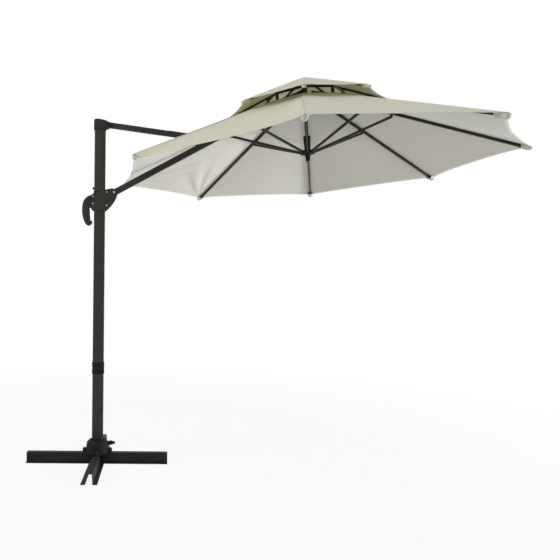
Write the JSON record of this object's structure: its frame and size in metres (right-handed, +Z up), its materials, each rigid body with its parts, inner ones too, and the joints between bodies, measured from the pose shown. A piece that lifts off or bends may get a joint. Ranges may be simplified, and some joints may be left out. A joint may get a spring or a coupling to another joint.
{
  "type": "cantilever parasol",
  "caption": "Round two-tier cloth canopy hung from a side mast by a strut and a tilting arm, raised by a sliding carriage, on a swivelling cross base.",
  "frame": {"origin": "on the axis of the mast at ground level, below the base", "axes": "+X from the mast to the canopy in the plane of the arm, +Z up, -Y towards the picture's camera"},
  "size_m": [3.4725, 2.7716, 2.8757],
  "materials": {
    "frame": "matt powder coat",
    "base_steel": "matt powder coat",
    "plastic": "fine grain",
    "rubber": "matt",
    "bright": "zinc plated",
    "cloth": "woven polyester",
    "top_cloth": "woven polyester",
    "webbing": "woven tape"
  },
  "bodies": {
    "base": {"base_channel_long": "base_steel", "base_leg_near": "base_steel", "base_leg_far": "base_steel", "swivel_housing": "plastic"},
    "lock_knob": {"swivel_lock_knob": "rubber"},
    "mast": {"swivel_post": "plastic", "mast_lower": "frame", "mast_upper": "frame", "mast_joint_sleeve": "plastic", "mast_top_cap": "plastic", "carriage_stop": "rubber", "cap_bolt": "plastic"},
    "carriage": {"carriage_plate_near": "frame", "carriage_plate_far": "frame", "carriage_slider": "plastic", "carriage_handle": "plastic", "arm_pivot_bolt": "bright"},
    "trigger": {"handle_trigger": "rubber"},
    "strut": {"strut_tube": "frame", "strut_end_lug": "plastic", "strut_cheek_near": "frame", "strut_cheek_far": "frame"},
    "arm": {"arm_tube": "frame", "arm_lower_lug": "plastic", "arm_upper_lug": "plastic"},
    "hub": {"hub_bracket": "frame", "hub_pivot_bolt": "bright", "canopy_pole": "frame", "canopy_crown": "plastic", "canopy_top_hub": "plastic", "canopy_main": "cloth", "canopy_top": "top_cloth", "vent_webbing": "webbing"},
    "runner": {"runner_hub": "plastic", "runner_grip": "plastic"},
    "rib_frame_1": {"rib_1": "frame", "vent_rib_1": "frame"},
    "stretcher_frame_1": {"stretcher_1": "frame"},
    "rib_frame_2": {"rib_2": "frame", "vent_rib_2": "frame"},
    "stretcher_frame_2": {"stretcher_2": "frame"},
    "rib_frame_3": {"rib_3": "frame", "vent_rib_3": "frame"},
    "stretcher_frame_3": {"stretcher_3": "frame"},
    "rib_frame_4": {"rib_4": "frame", "vent_rib_4": "frame"},
    "stretcher_frame_4": {"stretcher_4": "frame"},
    "rib_frame_5": {"rib_5": "frame", "vent_rib_5": "frame"},
    "stretcher_frame_5": {"stretcher_5": "frame"},
    "rib_frame_6": {"rib_6": "frame", "vent_rib_6": "frame"},
    "stretcher_frame_6": {"stretcher_6": "frame"},
    "rib_frame_7": {"rib_7": "frame", "vent_rib_7": "frame"},
    "stretcher_frame_7": {"stretcher_7": "frame"},
    "rib_frame_8": {"rib_8": "frame", "vent_rib_8": "frame"},
    "stretcher_frame_8": {"stretcher_8": "frame"}
  },
  "joints": [
    {"name": "mast_swivel", "type": "hinge", "parent": "base", "child": "mast", "pos_m": [0, 0, 0.1], "axis": [0, 0, 1], "continuous": true},
    {"name": "lock_knob_turn", "type": "hinge", "parent": "base", "child": "lock_knob", "pos_m": [0.06942, -0.00902, 0.137], "axis": [0.9917, -0.1288, 0], "continuous": true},
    {"name": "carriage_slide", "type": "slide", "parent": "mast", "child": "carriage", "axis": [0, 0, 1], "range_m": [-0.94226, 0], "deforming": ["canopy_main", "canopy_top", "vent_webbing"]},
    {"name": "arm_hinge", "type": "hinge", "parent": "carriage", "child": "arm", "pos_m": [0.102, 0, 1.946], "axis": [0, -1, 0], "range_deg": [0, 50.42]},
    {"name": "strut_hinge", "type": "hinge", "parent": "mast", "child": "strut", "pos_m": [0.07, 0, 2.439], "axis": [0, -1, 0], "range_deg": [-67, 0]},
    {"name": "hub_hinge", "type": "hinge", "parent": "arm", "child": "hub", "pos_m": [1.43667, 0, 2.7042], "axis": [0, -1, 0], "range_deg": [-53.62, 0]},
    {"name": "trigger_hinge", "type": "hinge", "parent": "carriage", "child": "trigger", "pos_m": [-0.081, 0, 1.843], "axis": [0, 1, 0], "range_deg": [0, 4.5], "stiffness_Nm_per_rad": 6, "springref_deg": -2.86},
    {"name": "rib_hinge_1", "type": "hinge", "parent": "hub", "child": "rib_frame_1", "pos_m": [1.59379, 0.01722, 2.69896], "axis": [-0.3821, 0.9239, -0.0214], "range_deg": [0, 64.46]},
    {"name": "rib_hinge_2", "type": "hinge", "parent": "hub", "child": "rib_frame_2", "pos_m": [1.56947, 0.04157, 2.6976], "axis": [-0.9224, 0.3827, -0.0516], "range_deg": [0, 64.46]},
    {"name": "rib_hinge_3", "type": "hinge", "parent": "hub", "child": "rib_frame_3", "pos_m": [1.53508, 0.04157, 2.69568], "axis": [-0.9224, -0.3827, -0.0516], "range_deg": [0, 64.46]},
    {"name": "rib_hinge_4", "type": "hinge", "parent": "hub", "child": "rib_frame_4", "pos_m": [1.51077, 0.01722, 2.69432], "axis": [-0.3821, -0.9239, -0.0214], "range_deg": [0, 64.46]},
    {"name": "rib_hinge_5", "type": "hinge", "parent": "hub", "child": "rib_frame_5", "pos_m": [1.51077, -0.01722, 2.69432], "axis": [0.3821, -0.9239, 0.0214], "range_deg": [0, 64.46]},
    {"name": "rib_hinge_6", "type": "hinge", "parent": "hub", "child": "rib_frame_6", "pos_m": [1.53508, -0.04157, 2.69568], "axis": [0.9224, -0.3827, 0.0516], "range_deg": [0, 64.46]},
    {"name": "rib_hinge_7", "type": "hinge", "parent": "hub", "child": "rib_frame_7", "pos_m": [1.56947, -0.04157, 2.6976], "axis": [0.9224, 0.3827, 0.0516], "range_deg": [0, 64.46]},
    {"name": "rib_hinge_8", "type": "hinge", "parent": "hub", "child": "rib_frame_8", "pos_m": [1.59379, -0.01722, 2.69896], "axis": [0.3821, 0.9239, 0.0214], "range_deg": [0, 64.46]},
    {"name": "stretcher_hinge_1", "type": "hinge", "parent": "rib_frame_1", "child": "stretcher_frame_1", "pos_m": [2.12428, 0.23267, 2.52831], "axis": [-0.3821, 0.9239, -0.0214], "range_deg": [-128.9, 0]},
    {"name": "runner_hinge", "type": "hinge", "parent": "stretcher_frame_1", "child": "runner", "pos_m": [1.61612, 0.01722, 2.29959], "axis": [-0.3821, 0.9239, -0.0214], "range_deg": [0, 64.46]},
    {"name": "stretcher_hinge_2", "type": "hinge", "parent": "runner", "child": "stretcher_frame_2", "pos_m": [1.5918, 0.04157, 2.29823], "axis": [-0.9224, 0.3827, -0.0516], "range_deg": [-64.46, 0]},
    {"name": "stretcher_hinge_3", "type": "hinge", "parent": "runner", "child": "stretcher_frame_3", "pos_m": [1.55741, 0.04157, 2.2963], "axis": [-0.9224, -0.3827, -0.0516], "range_deg": [-64.46, 0]},
    {"name": "stretcher_hinge_4", "type": "hinge", "parent": "runner", "child": "stretcher_frame_4", "pos_m": [1.5331, 0.01722, 2.29494], "axis": [-0.3821, -0.9239, -0.0214], "range_deg": [-64.46, 0]},
    {"name": "stretcher_hinge_5", "type": "hinge", "parent": "runner", "child": "stretcher_frame_5", "pos_m": [1.5331, -0.01722, 2.29494], "axis": [0.3821, -0.9239, 0.0214], "range_deg": [-64.46, 0]},
    {"name": "stretcher_hinge_6", "type": "hinge", "parent": "runner", "child": "stretcher_frame_6", "pos_m": [1.55741, -0.04157, 2.2963], "axis": [0.9224, -0.3827, 0.0516], "range_deg": [-64.46, 0]},
    {"name": "stretcher_hinge_7", "type": "hinge", "parent": "runner", "child": "stretcher_frame_7", "pos_m": [1.5918, -0.04157, 2.29823], "axis": [0.9224, 0.3827, 0.0516], "range_deg": [-64.46, 0]},
    {"name": "stretcher_hinge_8", "type": "hinge", "parent": "runner", "child": "stretcher_frame_8", "pos_m": [1.61612, -0.01722, 2.29959], "axis": [0.3821, 0.9239, 0.0214], "range_deg": [-64.46, 0]}
  ],
  "couplings": [
    {"joint": "arm_hinge", "follows": "carriage_slide", "rad_per_m": -0.93355},
    {"joint": "strut_hinge", "follows": "carriage_slide", "rad_per_m": 1.2406},
    {"joint": "hub_hinge", "follows": "carriage_slide", "rad_per_m": 0.99282},
    {"joint": "rib_hinge_1", "follows": "carriage_slide", "rad_per_m": -1.1936},
    {"joint": "rib_hinge_2", "follows": "carriage_slide", "rad_per_m": -1.1936},
    {"joint": "rib_hinge_3", "follows": "carriage_slide", "rad_per_m": -1.1936},
    {"joint": "rib_hinge_4", "follows": "carriage_slide", "rad_per_m": -1.1936},
    {"joint": "rib_hinge_5", "follows": "carriage_slide", "rad_per_m": -1.1936},
    {"joint": "rib_hinge_6", "follows": "carriage_slide", "rad_per_m": -1.1936},
    {"joint": "rib_hinge_7", "follows": "carriage_slide", "rad_per_m": -1.1936},
    {"joint": "rib_hinge_8", "follows": "carriage_slide", "rad_per_m": -1.1936},
    {"joint": "stretcher_hinge_1", "follows": "carriage_slide", "rad_per_m": 2.3872},
    {"joint": "runner_hinge", "follows": "carriage_slide", "rad_per_m": -1.1936},
    {"joint": "stretcher_hinge_2", "follows": "carriage_slide", "rad_per_m": 1.1936},
    {"joint": "stretcher_hinge_3", "follows": "carriage_slide", "rad_per_m": 1.1936},
    {"joint": "stretcher_hinge_4", "follows": "carriage_slide", "rad_per_m": 1.1936},
    {"joint": "stretcher_hinge_5", "follows": "carriage_slide", "rad_per_m": 1.1936},
    {"joint": "stretcher_hinge_6", "follows": "carriage_slide", "rad_per_m": 1.1936},
    {"joint": "stretcher_hinge_7", "follows": "carriage_slide", "rad_per_m": 1.1936},
    {"joint": "stretcher_hinge_8", "follows": "carriage_slide", "rad_per_m": 1.1936}
  ]
}
